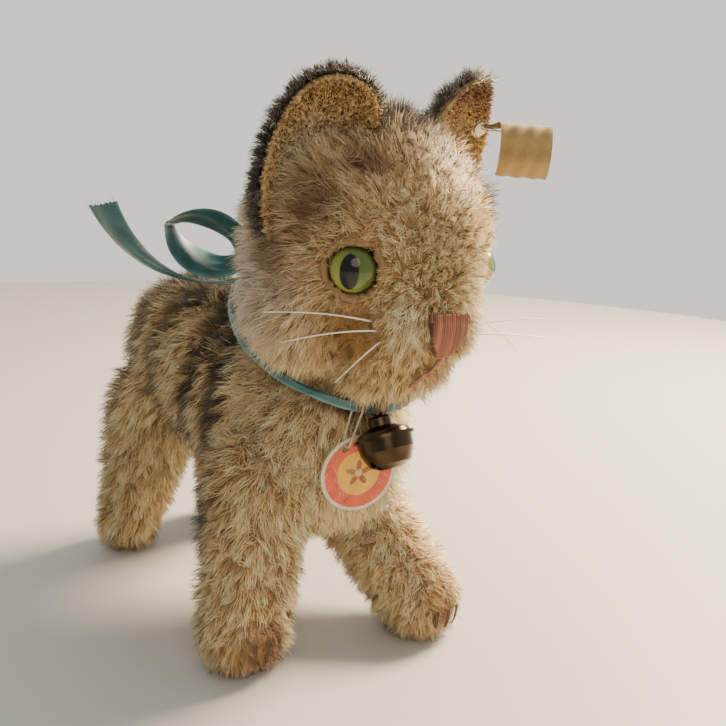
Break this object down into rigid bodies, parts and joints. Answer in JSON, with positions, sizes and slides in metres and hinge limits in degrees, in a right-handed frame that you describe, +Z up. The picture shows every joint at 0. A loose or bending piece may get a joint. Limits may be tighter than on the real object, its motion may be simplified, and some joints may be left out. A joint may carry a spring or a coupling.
{
  "type": "standing plush cat with a bell collar",
  "caption": "Standing stuffed kitten in worn tabby mohair, with a turning head, glass eyes, cupped ears, a ribbon with a bow, a swinging sleigh bell and a round card tag",
  "frame": {"origin": "the middle of the whole kitten's box, on the floor under it", "axes": "+Z up, the kitten faces -Y, its own right side is at -X"},
  "size_m": [0.085, 0.1174, 0.1346],
  "materials": {
    "mohair": "worn mohair plush, golden cream with dark painted stripes",
    "wood_wool": "packed wood wool stuffing",
    "steel_wire": "plain drawn steel",
    "hardboard": "pressed fibre board",
    "teal_ribbon": "thin aged satin ribbon",
    "ear_velvet": "short golden velvet, worn",
    "green_glass": "clear glass over green paint with a black upright pupil",
    "nose_floss": "rust cotton floss in satin stitch",
    "dark_thread": "worn cotton thread",
    "whisker_hair": "stiff white hair",
    "nickel": "nickel plated, dull",
    "flag_cloth": "stiff aged cotton tape",
    "dark_bronze": "tarnished, near black",
    "tag_card": "printed card, coral ring on a yellow middle",
    "tag_cord": "thin cotton thread"
  },
  "bodies": {
    "body": {"body_right_side": "mohair", "body_left_side": "mohair", "underbody_right": "mohair", "underbody_left": "mohair", "body_stuffing": "wood_wool", "tail_cover": "mohair", "tail_wire": "steel_wire", "claw_stitches": "dark_thread", "neck_body_disc": "hardboard", "neck_body_washer": "steel_wire", "neck_cotter_pin": "steel_wire", "collar_ribbon": "teal_ribbon", "bow_knot": "teal_ribbon", "bow_right_loop": "teal_ribbon", "bow_left_loop": "teal_ribbon", "bow_right_tail": "teal_ribbon", "bow_left_tail": "teal_ribbon"},
    "head": {"head_right_side": "mohair", "head_left_side": "mohair", "head_gusset": "mohair", "head_stuffing": "wood_wool", "right_ear_back": "mohair", "left_ear_back": "mohair", "right_ear_lining": "ear_velvet", "left_ear_lining": "ear_velvet", "right_eye": "green_glass", "left_eye": "green_glass", "eye_shanks": "steel_wire", "nose_stitching": "nose_floss", "mouth_stitching": "nose_floss", "whiskers": "whisker_hair", "neck_head_disc": "hardboard", "neck_head_washer": "steel_wire", "ear_button": "nickel", "ear_flag": "flag_cloth"},
    "bell": {"bell_upper_shell": "dark_bronze", "bell_lower_bowl": "dark_bronze", "bell_loop": "dark_bronze"},
    "pellet": {"bell_pellet": "steel_wire"},
    "tag": {"card_tag": "tag_card", "tag_thread": "tag_cord"}
  },
  "joints": [
    {"name": "head_turn", "type": "hinge", "parent": "body", "child": "head", "pos_m": [-0.0005, -0.02053, 0.07599], "axis": [0, -0.4226, 0.9063], "range_deg": [-70, 70]},
    {"name": "bell_swing", "type": "hinge", "parent": "body", "child": "bell", "pos_m": [-0.0045, -0.04227, 0.0634], "axis": [-1, 0, 0], "range_deg": [0, 35]},
    {"name": "pellet_rattle", "type": "slide", "parent": "bell", "child": "pellet", "axis": [0, 0.454, 0.891], "range_m": [0, 0.0025]},
    {"name": "tag_swing", "type": "hinge", "parent": "body", "child": "tag", "pos_m": [-0.00856, -0.04097, 0.064], "axis": [-0.2517, -0.9665, -0.0503], "range_deg": [-15, 5]}
  ]
}
